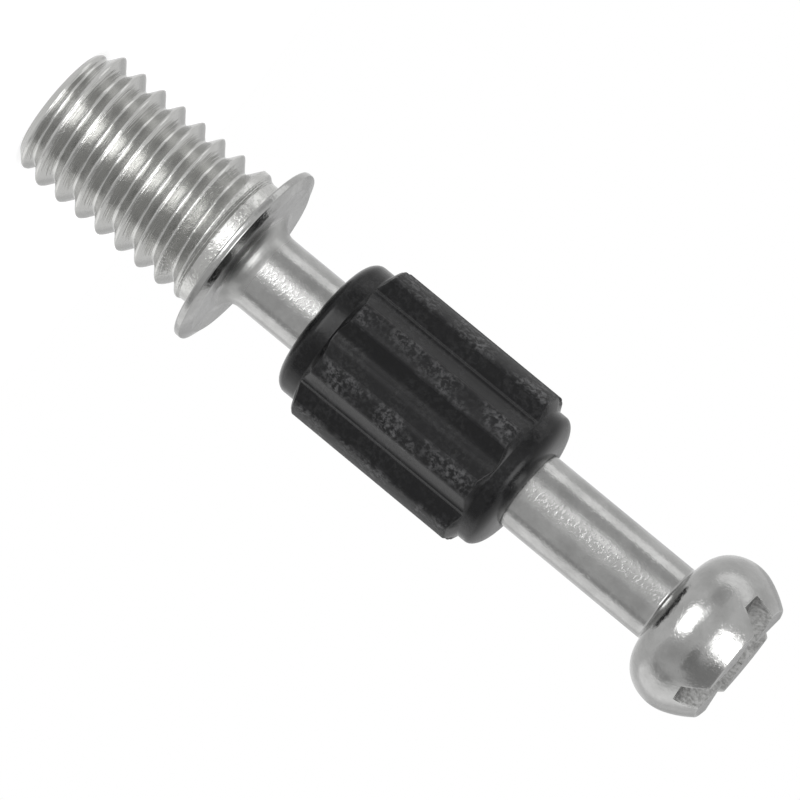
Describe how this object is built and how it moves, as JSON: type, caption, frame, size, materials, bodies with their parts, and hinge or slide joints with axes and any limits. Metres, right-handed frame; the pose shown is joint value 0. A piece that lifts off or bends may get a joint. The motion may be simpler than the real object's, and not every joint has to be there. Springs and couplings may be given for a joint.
{
  "type": "cam dowel",
  "caption": "Steel cam dowel for flat-pack furniture: metric screw end with a stop collar, smooth shank, ribbed plastic centring sleeve and a ball head with a cross recess.",
  "frame": {"origin": "centre of the screw's flat tip, on which the dowel stands", "axes": "+Z along the dowel from the screw tip to the ball head"},
  "size_m": [0.008, 0.008, 0.0339],
  "materials": {
    "plated_steel": "bright plated steel, polished shank",
    "black_plastic": "moulded, semi-matt"
  },
  "bodies": {
    "root": {"dowel_bolt": "plated_steel", "ribbed_sleeve": "black_plastic"}
  },
  "joints": []
}
